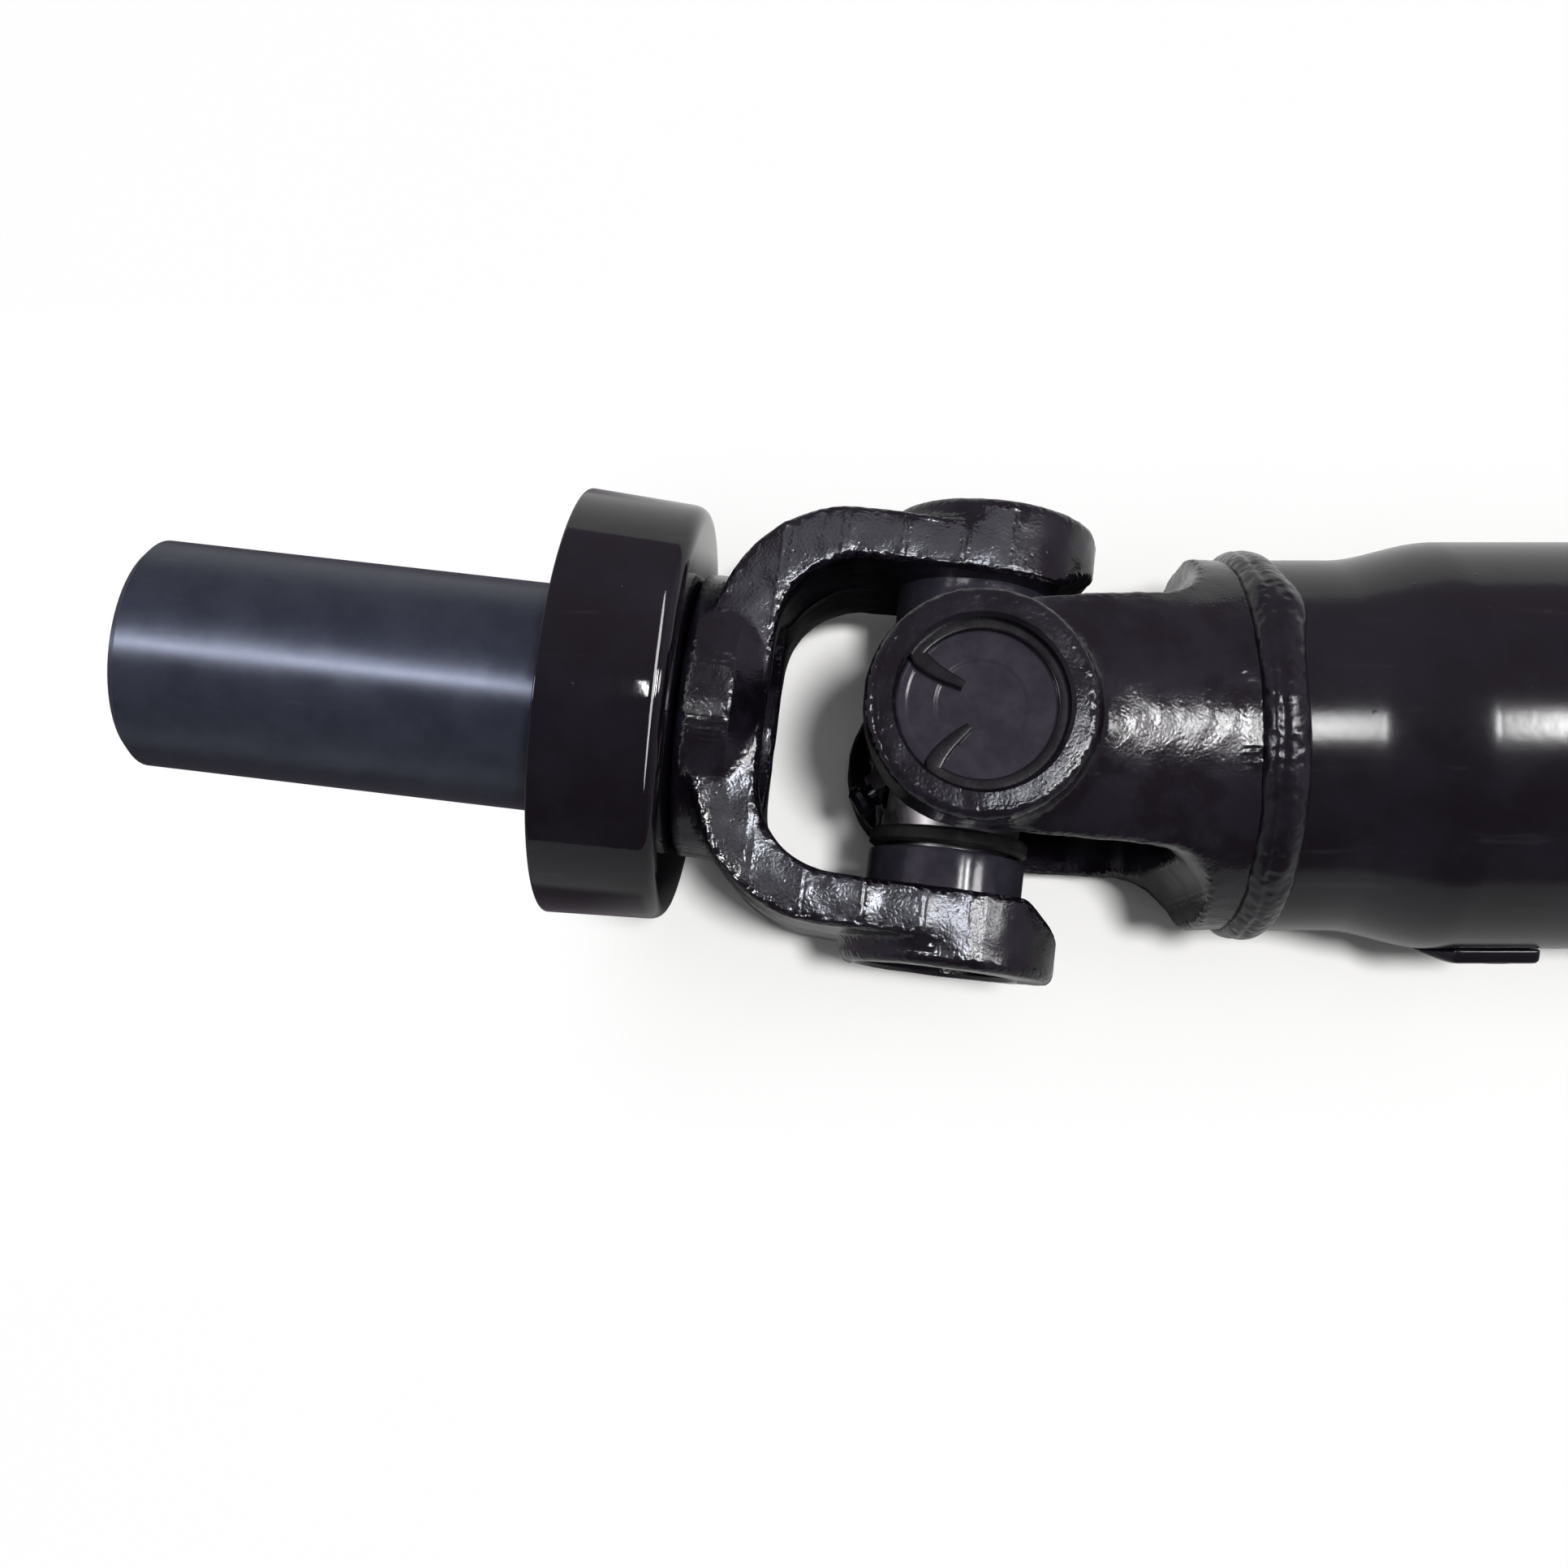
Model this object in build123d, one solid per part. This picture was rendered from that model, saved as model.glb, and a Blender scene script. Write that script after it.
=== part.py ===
"""Universal joint shaft (vehicle propeller shaft), in millimetres.

A swaged steel tube carries a welded tube yoke at each end. The front joint joins it to a splined slip
yoke with a pressed dust cover, and the rear joint joins it to a square flange yoke. The row frame has its
origin at the centre of the flange's mating face, +X out of that face, along the tube, and +Z up.

Every yoke is built in its own joint frame: the joint centre at the origin, +X from the joint towards the
yoke's base, and the two ears on the Z axis. It is then placed by one of the locations below.
"""
from build123d import *
import math
import os

# ---------------------------------------------------------------- driving dimensions
CUP_R = 14.3                  # bearing cup radius (28.6 mm cups)
CUP_SPAN = 77.0               # across the outer faces of two opposite cups
EAR_R = 19.5                  # ear boss radius
EAR_SPAN = 84.4               # across the outer faces of two ears
EAR_GAP = 56.4                # between the inner faces of two ears
TUBE_R = 37.5                 # main tube, 75 mm
SWAGE_R = 34.2                # tube end where the yoke is welded
TUBE_WALL = 2.0
BARREL_R = 21.5               # slip yoke sleeve, 43 mm
COVER_SEAT_R = 21.8           # the sleeve's step that the dust cover is pressed on
BARREL_END = 153.6            # joint centre to the sleeve's open end
JOINT_SPACING = 500.0         # between the two joint centres
FLANGE_REACH = 52.0           # rear joint centre to the flange's mating face
FRONT_BEND = -7.0             # degrees, the front joint's swing about Z at rest
FRONT_DROOP = -1.7            # degrees, the slip yoke's dip at rest, until its cover meets the ground

# fits and small features
FIT = 0.02                    # radial room of a pressed piece
RUN = 0.08                    # room between pieces that turn on each other
RING_T = 1.5                  # snap ring thickness
RING_R = 15.0                 # snap ring outer radius
RING_INNER_R = 12.4
RING_GAP = 45.0               # degrees each side of a ring's axis that its ends stand
GROOVE_R = 15.15
CUP_FACE = CUP_SPAN / 2
EAR_FACE = EAR_SPAN / 2
EAR_INNER = EAR_GAP / 2

# cup, needles and trunnion
TRUNNION_R = 9.6
NEEDLE_R = 1.32
NEEDLE_COUNT = 24
NEEDLE_START, NEEDLE_END = 23.9, 34.8
CUP_BORE_R = TRUNNION_R + 2 * NEEDLE_R + 2 * RUN
CUP_MOUTH = 20.9
CUP_FLOOR = 2.5
TRUNNION_END = 35.0
SHOULDER_R = 12.5
SHOULDER_END = 19.4
GUARD_R = 14.5
GUARD_START = 17.2
GUARD_END = 20.2
DISH_R = 7.3                  # shallow dish in a cup's closed face
DISH_DEPTH = 0.5
CROSS_CORE_R = 15.5
RING_HOOK = 2.0               # width of a snap ring's hooked end
NIPPLE_ANGLE = 217.0          # degrees about Z from +X, the way the grease nipple points
NIPPLE_SEAT = 15.2            # from the cross's centre
NIPPLE_SINK = 5.0
NIPPLE_THREAD_R = 3.0
NIPPLE_SPOT_R = 5.0

# slip yoke
SLIP_EAR_SHIFT = -1.9         # its ear bosses stand this far towards the arms' tips
ARM_OUT = 37.7                # outer face of an arm
ARM_BEND_OUT = 25.3           # outer corner radius of the fork
ARM_BEND_IN = 15.0            # inner corner radius of the fork
SLIP_THROAT = 35.0            # joint centre to the bottom of the fork
SLIP_BACK = 46.5              # joint centre to the fork's back
SLIP_BOSS_R = 26.5
SLIP_ARM_HALF = 22.5          # half width of the fork at its back
FORK_DEPTH = 60.0             # blank depth that a fork's arms are cut from
COVER_START = 50.6            # the dust cover's closed face
COVER_RIM = 72.8
COVER_RIM_R = 39.8
COVER_BACK_R = 38.6
COVER_T = 1.6
COVER_CORNER = 3.0
COVER_COLLAR = 60.0
COVER_SEAT_END = 61.0
SPLINE_TEETH = 31
SPLINE_MINOR_R = 15.8
SPLINE_MAJOR_R = 17.2
SPLINE_START, SPLINE_END = 62.0, 141.0
MOUTH_R = 17.8                # plain bore ahead of the splines
PLUG_R = 18.2
PLUG_SEAT = 40.0
PLUG_T = 1.6
PLUG_DOME = 1.6
BREATHER_R = 1.25

# tube yoke
TUBE_THROAT = 36.0
HUB_START = 41.0
HUB_END = 50.0
SPIGOT_END = 63.0
SPIGOT_R = SWAGE_R - TUBE_WALL - FIT
TUBE_ARM_HALF = 23.0
TUBE_FORK_DEPTH = 80.0
HUB_BLEND = 9.0               # fillet where an arm widens into the round hub
HUB_CORE_R = 26.0             # radius of the hollow in the spigot's end
ARM_TOP_R = 38.3              # radius of an arm's rounded outer face
FLARE_START, FLARE_END = 67.0, 86.0
BEAD_START, BEAD_END = 47.0, 55.5
BEAD_HEIGHT = 2.2

# flange yoke
FLANGE_SIDE = 85.0
FLANGE_T = 9.0
FLANGE_CORNER = 14.0
BOLT_PCD = 83.4
BOLT_R = 5.25
PILOT_R = 23.5
PILOT_DEPTH = 3.0
FLANGE_ARM_HALF = 20.5

# balance weights
WEIGHT_LENGTH = 20.5
WEIGHT_WIDTH = 30.0
WEIGHT_T = 2.7
WEIGHT_LEAD = 5.0             # length of its tapered front end
FRONT_WEIGHT_START = 85.6     # from the front joint centre
FRONT_WEIGHT_ANGLE = 24.0     # degrees about the tube, from -Y downwards
REAR_WEIGHT_START = 112.0     # from the rear joint centre
REAR_WEIGHT_ANGLE = 150.0

REAR_X = -FLANGE_REACH
FRONT_X = REAR_X - JOINT_SPACING

# ---------------------------------------------------------------- where each joint frame stands
AT_FRONT_TUBE_YOKE = Pos(FRONT_X, 0, 0)
AT_REAR_TUBE_YOKE = Pos(REAR_X, 0, 0) * Rot(0, 0, 180)
AT_FLANGE_YOKE = Pos(REAR_X, 0, 0) * Rot(90, 0, 0)
AT_FRONT_CROSS = Pos(FRONT_X, 0, 0) * Rot(0, 0, FRONT_BEND)
AT_REAR_CROSS = Pos(REAR_X, 0, 0)
AT_SLIP_YOKE = AT_FRONT_CROSS * Rot(0, FRONT_DROOP, 0) * Rot(0, 0, 180) * Rot(90, 0, 0)

AT_FRONT_WEIGHT = Pos(FRONT_X + FRONT_WEIGHT_START, 0, 0) * Rot(FRONT_WEIGHT_ANGLE, 0, 0)
AT_REAR_WEIGHT = Pos(REAR_X - REAR_WEIGHT_START, 0, 0) * Rot(REAR_WEIGHT_ANGLE, 0, 0)

# the grease nipple's seat on a cross, +Z outwards
AT_NIPPLE = Rot(0, 0, NIPPLE_ANGLE) * Pos(NIPPLE_SEAT, 0, 0) * Rot(0, 90, 0)

# from a joint frame's +Z to each of its ears
UP_EAR = Rot(0, 0, 0)
DOWN_EAR = Rot(180, 0, 0)
LEFT_EAR = {"front": UP_EAR, "rear": DOWN_EAR}      # the ear on the +Y side of each swinging yoke
RIGHT_EAR = {"front": DOWN_EAR, "rear": UP_EAR}


# ---------------------------------------------------------------- helpers
def rod(radius, low, high):
    """A cylinder on the Z axis from low to high."""
    return Pos(0, 0, (low + high) / 2) * Cylinder(radius, high - low)


def lathe(points):
    """A solid turned about the X axis from (x, radius) points."""
    face = make_face(Polyline(*[(x, 0, r) for x, r in points], close=True))
    return revolve(face, Axis.X, 360)


def fork_band(throat, back, half_out, bend_in, bend_out, width):
    """The U of a fork seen from its side, open towards -X, as deep as width across Y."""
    outer = Pos(back / 2, 0) * Rectangle(back, 2 * half_out)
    outer = fillet(outer.vertices().group_by(Axis.X)[-1], bend_out)
    inner = Pos(throat / 2 - 1, 0) * Rectangle(throat + 2, EAR_GAP)
    inner = fillet(inner.vertices().group_by(Axis.X)[-1], bend_in)
    return extrude(Plane.XZ * (outer - inner), width / 2, both=True)


def arm_plan(ear_shift, end_half, end, hub_r=0.0, hub_start=0.0, blend=0.0):
    """The fork seen along Z: a round ear and an arm that widens, then flares to a round hub if there is one."""
    points = [(ear_shift, EAR_R), (end, end_half), (end, -end_half), (ear_shift, -EAR_R)]
    plan = Pos(ear_shift, 0) * Circle(EAR_R) + make_face(Polyline(*points, close=True))
    if hub_r:
        hub = Pos((hub_start + SPIGOT_END) / 2, 0) * Rectangle(SPIGOT_END - hub_start, 2 * hub_r)
        plan = plan + hub
        inside = [v for v in plan.vertices() if abs(v.X - hub_start) < 0.1 and abs(v.Y) < hub_r - 1]
        plan = fillet(inside, blend)
    return extrude(plan, EAR_SPAN, both=True)


def ears(ear_shift=0.0):
    """Both ear bosses of a yoke, each with its inner tip cut back for the other yoke's swing."""
    both = Pos(ear_shift, 0, 0) * rod(EAR_R, EAR_INNER, EAR_FACE)
    rim = both.edges().filter_by(GeomType.CIRCLE).sort_by(Axis.Z)[-1]
    both = chamfer(rim, 1.0)
    tip = [(-14.0, EAR_INNER - 0.1), (-30.0, EAR_INNER - 0.1), (-30.0, EAR_INNER + 12.0)]
    cut = extrude(Plane.XZ * make_face(Polyline(*tip, close=True)), EAR_R + 1, both=True)
    both = both - cut
    return both + Rot(180, 0, 0) * both


def ear_bores():
    """The holes, snap ring grooves and lead-ins that the two bearing cups are pressed through."""
    hole = rod(CUP_R + FIT, EAR_INNER - 8, EAR_FACE + 1)
    groove = rod(GROOVE_R, CUP_FACE + 0.02, CUP_FACE + RING_T + 0.12)
    lead = Pos(0, 0, EAR_FACE - 0.4) * Cone(CUP_R + FIT, CUP_R + FIT + 0.8, 0.8)
    one = hole + groove + lead
    return one + Rot(180, 0, 0) * one


# ---------------------------------------------------------------- slip yoke
def spline_bore():
    """The splines' hollow: a star of straight-sided teeth, drawn out along X."""
    step = 2 * math.pi / SPLINE_TEETH
    points = []
    for i in range(SPLINE_TEETH):
        for share, r in ((-0.34, SPLINE_MINOR_R), (-0.14, SPLINE_MAJOR_R),
                         (0.14, SPLINE_MAJOR_R), (0.34, SPLINE_MINOR_R)):
            a = (i + share) * step
            points.append((r * math.cos(a), r * math.sin(a)))
    star = make_face(Polyline(*points, close=True))
    return Pos(SPLINE_START, 0, 0) * Rot(0, 90, 0) * extrude(star, SPLINE_END - SPLINE_START)


def slip_yoke():
    band = fork_band(SLIP_THROAT, SLIP_BACK, ARM_OUT, ARM_BEND_IN, ARM_BEND_OUT, FORK_DEPTH)
    fork = band & arm_plan(SLIP_EAR_SHIFT, SLIP_ARM_HALF, SLIP_BACK + 2)
    base = lathe([(SLIP_THROAT + 0.5, 0), (SLIP_THROAT + 0.5, 21.5), (SLIP_THROAT + 6, SLIP_BOSS_R),
                  (COVER_START - 1.2, SLIP_BOSS_R), (COVER_START - 0.2, SLIP_BOSS_R - 1.0),
                  (COVER_START - 0.2, COVER_SEAT_R), (COVER_SEAT_END, COVER_SEAT_R),
                  (COVER_SEAT_END, BARREL_R), (BARREL_END - 1.5, BARREL_R),
                  (BARREL_END, BARREL_R - 1.5), (BARREL_END, 0)])
    body = fork + ears(SLIP_EAR_SHIFT) + base - ear_bores()
    bore = lathe([(SLIP_THROAT - 3, 0), (SLIP_THROAT - 3, PLUG_R), (PLUG_SEAT, PLUG_R),
                  (PLUG_SEAT, SPLINE_MINOR_R - 0.4), (SPLINE_START - 6, SPLINE_MINOR_R - 0.4),
                  (SPLINE_START - 6, MOUTH_R), (SPLINE_START, MOUTH_R), (SPLINE_START, 0)])
    mouth = lathe([(SPLINE_END, 0), (SPLINE_END, MOUTH_R), (BARREL_END - 0.8, MOUTH_R),
                   (BARREL_END + 0.2, MOUTH_R + 1.0), (BARREL_END + 0.2, 0)])
    return body - bore - spline_bore() - mouth


def slip_yoke_plug():
    """A domed expansion plug with a breather hole, pressed in at the fork's throat."""
    r = PLUG_R - FIT
    rim = PLUG_SEAT - 0.1
    face = make_face([
        Line((rim - PLUG_T - PLUG_DOME, 0, 0), (rim - PLUG_DOME, 0, 0)),
        ThreePointArc((rim - PLUG_DOME, 0, 0), (rim - PLUG_DOME * 0.75, 0, r / 2), (rim, 0, r)),
        Line((rim, 0, r), (rim - PLUG_T, 0, r)),
        ThreePointArc((rim - PLUG_T, 0, r), (rim - PLUG_T - PLUG_DOME * 0.75, 0, r / 2),
                      (rim - PLUG_T - PLUG_DOME, 0, 0)),
    ])
    plug = revolve(face, Axis.X, 360)
    return plug - Pos(PLUG_SEAT, 0, 0) * Rot(0, 90, 0) * Cylinder(BREATHER_R, 20)


def dust_cover():
    """A drawn sheet cup round the sleeve, open towards the sleeve's end, with a collar pressed on it."""
    c, t = COVER_CORNER, COVER_T
    back, rim = COVER_START, COVER_RIM
    turn = math.sqrt(0.5)
    outside = [
        Line((back, 0, COVER_SEAT_R + FIT), (back, 0, COVER_BACK_R - c)),
        ThreePointArc((back, 0, COVER_BACK_R - c), (back + c - c * turn, 0, COVER_BACK_R - c + c * turn),
                      (back + c, 0, COVER_BACK_R)),
        Line((back + c, 0, COVER_BACK_R), (rim, 0, COVER_RIM_R)),
        Line((rim, 0, COVER_RIM_R), (rim, 0, COVER_RIM_R - t)),
    ]
    k = c - t
    inside = [
        Line((rim, 0, COVER_RIM_R - t), (back + c, 0, COVER_BACK_R - t)),
        ThreePointArc((back + c, 0, COVER_BACK_R - t), (back + c - k * turn, 0, COVER_BACK_R - c + k * turn),
                      (back + t, 0, COVER_BACK_R - c)),
        Line((back + t, 0, COVER_BACK_R - c), (back + t, 0, COVER_SEAT_R + FIT + t)),
        Line((back + t, 0, COVER_SEAT_R + FIT + t), (COVER_COLLAR, 0, COVER_SEAT_R + FIT + t)),
        Line((COVER_COLLAR, 0, COVER_SEAT_R + FIT + t), (COVER_COLLAR, 0, COVER_SEAT_R + FIT)),
        Line((COVER_COLLAR, 0, COVER_SEAT_R + FIT), (back, 0, COVER_SEAT_R + FIT)),
    ]
    return revolve(make_face(outside + inside), Axis.X, 360)


# ---------------------------------------------------------------- tube, tube yokes and welds
def tube_yoke():
    band = fork_band(TUBE_THROAT, SPIGOT_END, ARM_TOP_R + 2, ARM_BEND_IN, 1.0, TUBE_FORK_DEPTH)
    plan = arm_plan(0, TUBE_ARM_HALF, HUB_START + 2, SWAGE_R, HUB_START, HUB_BLEND)
    turned = lathe([(-EAR_R - 1, 0), (-EAR_R - 1, ARM_TOP_R), (EAR_R + 0.5, ARM_TOP_R),
                    (TUBE_THROAT - 2, SWAGE_R + 1.6), (HUB_START + 3, SWAGE_R), (HUB_END - TUBE_WALL, SWAGE_R), (HUB_END, SPIGOT_R), (SPIGOT_END - 1, SPIGOT_R),
                    (SPIGOT_END, SPIGOT_R - 1), (SPIGOT_END, 0)])
    hollow = lathe([(HUB_END - 1, 0), (HUB_END - 1, HUB_CORE_R - 8), (HUB_END + 5, HUB_CORE_R),
                    (SPIGOT_END + 1, HUB_CORE_R), (SPIGOT_END + 1, 0)])
    return (band & plan & turned) + ears() - ear_bores() - hollow


def flare(start, end):
    """An S of two equal arcs from start to end in the XZ plane, along X at both ends."""
    middle = ((start[0] + end[0]) / 2, 0, (start[2] + end[2]) / 2)
    return [TangentArc(start, middle, tangent=(1, 0, 0)), TangentArc(end, middle, tangent=(-1, 0, 0))]


def tube_line(inset):
    """The tube's line in the XZ plane, from its front end to its rear end, a distance inside its skin."""
    def front(distance, radius):
        return (FRONT_X + distance, 0, radius - inset)

    def rear(distance, radius):
        return (REAR_X - distance, 0, radius - inset)

    bevel = HUB_END + 0.1 + TUBE_WALL - inset
    return [
        Line(front(bevel, SWAGE_R), front(FLARE_START, SWAGE_R)),
        *flare(front(FLARE_START, SWAGE_R), front(FLARE_END, TUBE_R)),
        Line(front(FLARE_END, TUBE_R), rear(FLARE_END, TUBE_R)),
        *flare(rear(FLARE_END, TUBE_R), rear(FLARE_START, SWAGE_R)),
        Line(rear(FLARE_START, SWAGE_R), rear(bevel, SWAGE_R)),
    ]


def shaft_tube():
    """One tube with both ends swaged down and bevelled for the weld."""
    skin, bore = tube_line(0), tube_line(TUBE_WALL)
    front_bevel = Line(skin[0] @ 0, bore[0] @ 0)
    rear_bevel = Line(skin[-1] @ 1, bore[-1] @ 1)
    return revolve(make_face([*skin, rear_bevel, *bore, front_bevel]), Axis.X, 360)


def weld_bead():
    """The bead that fills the groove between a yoke and the tube, in the joint frame."""
    middle = (BEAD_START + BEAD_END) / 2
    foot = SWAGE_R + FIT
    face = make_face([
        ThreePointArc((BEAD_START, 0, foot), (middle, 0, foot + BEAD_HEIGHT), (BEAD_END, 0, foot)),
        Line((BEAD_END, 0, foot), (HUB_END + 0.1 + TUBE_WALL, 0, foot)),
        Line((HUB_END + 0.1 + TUBE_WALL, 0, foot), (HUB_END + 0.05, 0, foot - TUBE_WALL + 0.1)),
        Line((HUB_END + 0.05, 0, foot - TUBE_WALL + 0.1), (HUB_END - TUBE_WALL, 0, foot)),
        Line((HUB_END - TUBE_WALL, 0, foot), (BEAD_START, 0, foot)),
    ])
    return revolve(face, Axis.X, 360)


def balance_weight():
    """A curved plate spot-welded on the tube, its middle on -Y and its front end at X = 0, tapered in front."""
    half, lead = WEIGHT_WIDTH / 2, WEIGHT_LEAD
    outline = [(0, -half + lead), (lead, -half), (WEIGHT_LENGTH, -half),
               (WEIGHT_LENGTH, half), (lead, half), (0, half - lead)]
    plan = extrude(Plane.XZ * make_face(Polyline(*outline, close=True)), TUBE_R + 10)
    inner = TUBE_R + FIT
    shell = lathe([(0, inner), (0, inner + 0.8), (lead, inner + WEIGHT_T), (WEIGHT_LENGTH - 0.6, inner + WEIGHT_T),
                   (WEIGHT_LENGTH, inner + WEIGHT_T - 0.6), (WEIGHT_LENGTH, inner)])
    return shell & plan


# ---------------------------------------------------------------- flange yoke
def flange_yoke():
    back = FLANGE_REACH - FLANGE_T / 2
    band = fork_band(TUBE_THROAT, back, ARM_OUT, ARM_BEND_IN, 1.0, FORK_DEPTH)
    fork = band & arm_plan(0, FLANGE_ARM_HALF, back + 2)
    plate = Rectangle(FLANGE_SIDE, FLANGE_SIDE)
    plate = fillet(plate.vertices(), FLANGE_CORNER)
    holes = [Rot(0, 0, 45 + 90 * i) * Pos(BOLT_PCD / 2, 0) * Circle(BOLT_R) for i in range(4)]
    flange = extrude(plate - holes, FLANGE_T)
    flange = Pos(FLANGE_REACH - FLANGE_T, 0, 0) * Rot(0, 90, 0) * flange
    pilot = Pos(FLANGE_REACH, 0, 0) * Rot(0, 90, 0) * Cylinder(PILOT_R, 2 * PILOT_DEPTH)
    return fork + ears() + flange - ear_bores() - pilot


# ---------------------------------------------------------------- cross, cups and their small pieces
def cross():
    """The forged cross: four ground trunnions on the Z and Y axes round a swollen middle."""
    arm = rod(TRUNNION_R, 0, TRUNNION_END)
    arm = chamfer(arm.edges().filter_by(GeomType.CIRCLE).sort_by(Axis.Z)[-1], 0.8)
    shoulder = Pos(0, 0, SHOULDER_END / 2) * Cone(SHOULDER_R + 1.0, SHOULDER_R, SHOULDER_END)
    body = Sphere(CROSS_CORE_R)
    for turn in range(4):
        body = body + Rot(90 * turn, 0, 0) * (arm + shoulder)
    seat = rod(NIPPLE_THREAD_R + FIT, -NIPPLE_SINK, 1) + rod(NIPPLE_SPOT_R, 0, 2 * NIPPLE_SINK)
    return body - AT_NIPPLE * seat


def grease_nipple():
    """A ball-headed grease nipple with a hexagon, screwed into the cross."""
    hexagon = Pos(0, 0, 0.05) * extrude(RegularPolygon(4.0, 6), 3.0)
    head = lathe([(3.0, 0), (3.0, 2.3), (4.2, 1.9), (5.4, 3.1), (6.4, 3.1), (7.4, 2.0), (7.4, 0)])
    thread = rod(NIPPLE_THREAD_R, 0.5 - NIPPLE_SINK, 0.1)
    nipple = hexagon + Rot(0, -90, 0) * head + thread
    return AT_NIPPLE * nipple


def cup():
    """A drawn bearing cup on the +Z ear, with a shallow dish in its closed face."""
    blank = rod(CUP_R, CUP_MOUTH, CUP_FACE)
    blank = chamfer(blank.edges().filter_by(GeomType.CIRCLE), 0.6)
    hollow = rod(CUP_BORE_R, CUP_MOUTH - 1, CUP_FACE - CUP_FLOOR)
    dish = Pos(0, 0, CUP_FACE) * Cone(DISH_R - DISH_DEPTH, DISH_R + DISH_DEPTH, 2 * DISH_DEPTH)
    return blank - hollow - dish


def needles():
    """The loose needle rollers inside one cup."""
    pitch_r = TRUNNION_R + RUN + NEEDLE_R
    roller = rod(NEEDLE_R, NEEDLE_START, NEEDLE_END)
    return [Rot(0, 0, 360 * i / NEEDLE_COUNT) * Pos(pitch_r, 0, 0) * roller for i in range(NEEDLE_COUNT)]


def seal():
    """A rubber seal with a dust lip, gripping the cross's shoulder below the cup's mouth."""
    return revolve(make_face(Polyline(
        (SHOULDER_R + 0.15, 0, GUARD_START), (GUARD_R - 0.6, 0, GUARD_START), (GUARD_R, 0, GUARD_START + 0.6),
        (GUARD_R, 0, GUARD_END - 0.6), (GUARD_R - 0.8, 0, GUARD_END), (SHOULDER_R + 0.15, 0, GUARD_END),
        close=True)), Axis.Z, 360)


def snap_ring(turn):
    """A spring ring with two hooked ends, in the +Z ear's groove, its gap facing turn degrees from +X."""
    low = CUP_FACE + 0.05
    hoop = Circle(RING_R) - Circle(RING_INNER_R)
    reach = 2 * RING_R * math.tan(math.radians(RING_GAP))
    hoop = hoop - make_face(Polyline((0, 0), (2 * RING_R, reach), (2 * RING_R, -reach), close=True))
    start = (RING_R + RING_INNER_R) / 2 * math.cos(math.radians(RING_GAP))
    for side in (1, -1):
        hook = ThreePointArc((start, side * start), (7.2, side * 5.4), (2.4, side * 4.0))
        hoop = hoop + trace(hook, RING_HOOK)
    return Rot(0, 0, turn) * Pos(0, 0, low) * extrude(hoop, RING_T)


# ---------------------------------------------------------------- assembly
def joint_pieces(name, fixed_yoke, swinging_yoke, cross_at, ring_turns):
    """The cross and the four cup sets of one universal joint, by node name."""
    ears_at = {
        "top": fixed_yoke * UP_EAR, "bottom": fixed_yoke * DOWN_EAR,
        "left": swinging_yoke * LEFT_EAR[name], "right": swinging_yoke * RIGHT_EAR[name],
    }
    cross_arm = {"top": Rot(0, 0, 0), "bottom": Rot(180, 0, 0), "left": Rot(-90, 0, 0), "right": Rot(90, 0, 0)}
    pieces = {f"{name}_cross": cross_at * cross(), f"{name}_grease_nipple": cross_at * grease_nipple()}
    for side, ear_at in ears_at.items():
        pieces[f"{name}_cup_{side}"] = ear_at * cup()
        pieces[f"{name}_needles_{side}"] = Compound([ear_at * roller for roller in needles()])
        pieces[f"{name}_seal_{side}"] = cross_at * cross_arm[side] * seal()
        pieces[f"{name}_snap_ring_{side}"] = ear_at * snap_ring(ring_turns[side])
    return pieces


def assembly():
    pieces = {
        "slip_yoke": AT_SLIP_YOKE * slip_yoke(),
        "slip_yoke_plug": AT_SLIP_YOKE * slip_yoke_plug(),
        "dust_cover": AT_SLIP_YOKE * dust_cover(),
        "front_tube_yoke": AT_FRONT_TUBE_YOKE * tube_yoke(),
        "front_weld": AT_FRONT_TUBE_YOKE * weld_bead(),
        "shaft_tube": shaft_tube(),
        "front_balance_weight": AT_FRONT_WEIGHT * balance_weight(),
        "rear_balance_weight": AT_REAR_WEIGHT * balance_weight(),
        "rear_weld": AT_REAR_TUBE_YOKE * weld_bead(),
        "rear_tube_yoke": AT_REAR_TUBE_YOKE * tube_yoke(),
        "flange_yoke": AT_FLANGE_YOKE * flange_yoke(),
    }
    pieces |= joint_pieces("front", AT_FRONT_TUBE_YOKE, AT_SLIP_YOKE, AT_FRONT_CROSS,
                           {"top": 187, "bottom": 70, "left": 0, "right": 150})
    pieces |= joint_pieces("rear", AT_REAR_TUBE_YOKE, AT_FLANGE_YOKE, AT_REAR_CROSS,
                           {"top": 20, "bottom": 195, "left": 120, "right": 260})
    return pieces


os.makedirs("parts", exist_ok=True)
for node, solid in assembly().items():
    export_step(solid, f"parts/{node}.step")
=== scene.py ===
"""Universal joint shaft: its looks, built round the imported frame.

Lengths are in millimetres until finish_piece places a piece in the frame, which is in metres."""
import math

import bmesh
import bpy
import numpy as np
from mathutils import Matrix, Vector, noise


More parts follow.
